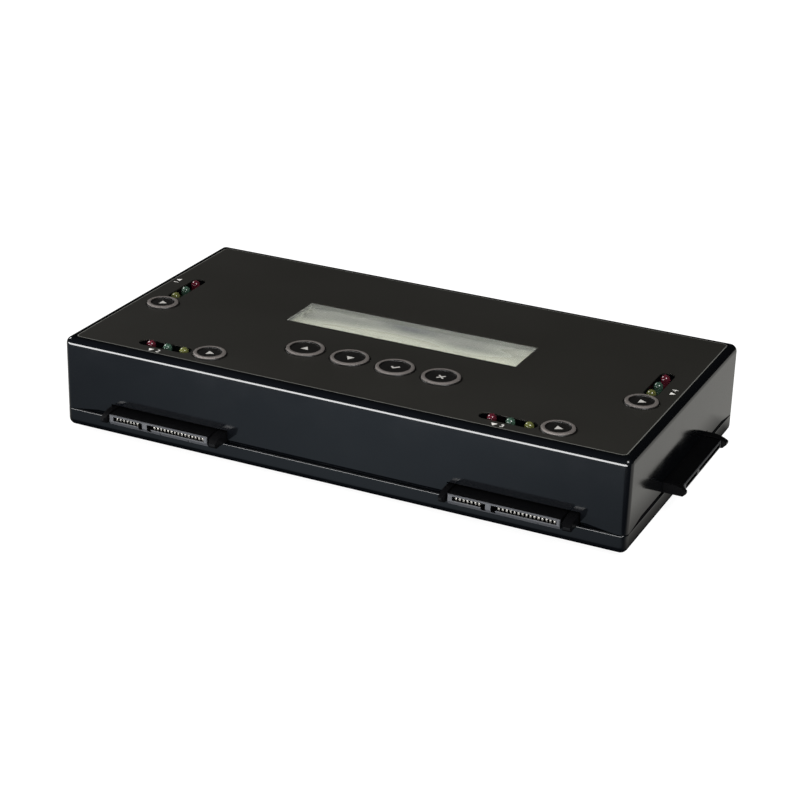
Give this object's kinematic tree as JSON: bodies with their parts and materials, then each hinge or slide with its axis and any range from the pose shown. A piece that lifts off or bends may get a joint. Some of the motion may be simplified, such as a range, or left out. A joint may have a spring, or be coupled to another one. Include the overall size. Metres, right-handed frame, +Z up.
{
  "type": "hard drive eraser",
  "caption": "Shallow black desk unit that wipes drives: character display and keys on top, drive receptacles with guide arms at the front and sides, power and serial inlets behind.",
  "frame": {"origin": "under the middle of the overall box, on the plane that the feet stand on", "axes": "+X along the case to the right, +Y from the front ports to the rear panel, +Z up"},
  "size_m": [0.2096, 0.1152, 0.0334],
  "materials": {
    "case_abs": "moulded satin black ABS",
    "overlay_film": "matt printed polycarbonate sheet",
    "key_plastic": "matt moulded plastic with a grey rim",
    "clear_lens": "clear moulded acrylic",
    "display_cell": "grey-green display cell",
    "frame_steel": "black painted pressed steel",
    "light_guide": "milky acrylic",
    "board_laminate": "green solder mask on glass laminate",
    "chip_epoxy": "moulded epoxy",
    "capacitor_can": "drawn aluminium can",
    "inductor_ferrite": "ferrite",
    "connector_black": "glass-filled moulding",
    "contact_plating": "plated spring metal",
    "tin_plating": "tinned wire and sheet",
    "lamp_red": "tinted epoxy",
    "lamp_green": "tinted epoxy",
    "lamp_yellow": "tinted epoxy",
    "switch_black": "moulded nylon",
    "shell_nickel": "nickel-plated pressed steel",
    "screw_steel": "blackened steel",
    "foot_rubber": "moulded rubber"
  },
  "bodies": {
    "case": {"bottom_tray": "case_abs", "top_cover": "case_abs", "control_overlay": "overlay_film", "case_screws": "screw_steel", "rubber_feet": "foot_rubber", "board_screws": "screw_steel", "main_board": "board_laminate", "control_board": "board_laminate", "controller_chips": "chip_epoxy", "capacitors": "capacitor_can", "inductors": "inductor_ferrite", "link_socket": "switch_black", "link_header": "switch_black", "link_pins": "contact_plating", "display_window": "clear_lens", "display_frame": "frame_steel", "display_glass": "display_cell", "display_light_guide": "light_guide", "display_board": "board_laminate", "display_header": "switch_black", "push_switches": "switch_black", "lamp_holders": "switch_black", "lamp_leads": "tin_plating", "dc_jack": "switch_black", "dc_jack_pin": "shell_nickel", "power_switch_body": "switch_black", "power_switch_terminals": "tin_plating", "serial_shell": "shell_nickel", "serial_insulator": "switch_black", "serial_pins": "contact_plating", "serial_lock_nuts": "shell_nickel", "lamps_red": "lamp_red", "lamps_green": "lamp_green", "lamps_yellow": "lamp_yellow", "drive_port_1": "connector_black", "drive_contacts_1": "contact_plating", "drive_port_2": "connector_black", "drive_contacts_2": "contact_plating", "drive_port_3": "connector_black", "drive_contacts_3": "contact_plating", "drive_port_4": "connector_black", "drive_contacts_4": "contact_plating"},
    "key_up_cap": {"key_up": "key_plastic", "key_up_plunger": "switch_black"},
    "key_down_cap": {"key_down": "key_plastic", "key_down_plunger": "switch_black"},
    "key_select_cap": {"key_select": "key_plastic", "key_select_plunger": "switch_black"},
    "key_back_cap": {"key_back": "key_plastic", "key_back_plunger": "switch_black"},
    "go_key_1_cap": {"go_key_1": "key_plastic", "go_key_1_plunger": "switch_black"},
    "go_key_2_cap": {"go_key_2": "key_plastic", "go_key_2_plunger": "switch_black"},
    "go_key_3_cap": {"go_key_3": "key_plastic", "go_key_3_plunger": "switch_black"},
    "go_key_4_cap": {"go_key_4": "key_plastic", "go_key_4_plunger": "switch_black"},
    "rocker": {"power_rocker": "switch_black"}
  },
  "joints": [
    {"name": "key_up_press", "type": "slide", "parent": "case", "child": "key_up_cap", "axis": [0, 0, -1], "range_m": [0, 0.00045], "stiffness_N_per_m": 250, "springref_m": -0.0004},
    {"name": "key_down_press", "type": "slide", "parent": "case", "child": "key_down_cap", "axis": [0, 0, -1], "range_m": [0, 0.00045], "stiffness_N_per_m": 250, "springref_m": -0.0004},
    {"name": "key_select_press", "type": "slide", "parent": "case", "child": "key_select_cap", "axis": [0, 0, -1], "range_m": [0, 0.00045], "stiffness_N_per_m": 250, "springref_m": -0.0004},
    {"name": "key_back_press", "type": "slide", "parent": "case", "child": "key_back_cap", "axis": [0, 0, -1], "range_m": [0, 0.00045], "stiffness_N_per_m": 250, "springref_m": -0.0004},
    {"name": "go_key_1_press", "type": "slide", "parent": "case", "child": "go_key_1_cap", "axis": [0, 0, -1], "range_m": [0, 0.00045], "stiffness_N_per_m": 250, "springref_m": -0.0004},
    {"name": "go_key_2_press", "type": "slide", "parent": "case", "child": "go_key_2_cap", "axis": [0, 0, -1], "range_m": [0, 0.00045], "stiffness_N_per_m": 250, "springref_m": -0.0004},
    {"name": "go_key_3_press", "type": "slide", "parent": "case", "child": "go_key_3_cap", "axis": [0, 0, -1], "range_m": [0, 0.00045], "stiffness_N_per_m": 250, "springref_m": -0.0004},
    {"name": "go_key_4_press", "type": "slide", "parent": "case", "child": "go_key_4_cap", "axis": [0, 0, -1], "range_m": [0, 0.00045], "stiffness_N_per_m": 250, "springref_m": -0.0004},
    {"name": "rocker_tilt", "type": "hinge", "parent": "case", "child": "rocker", "pos_m": [0.036, 0.05145, 0.0145], "axis": [0, 0, 1], "range_deg": [0, 20]}
  ]
}
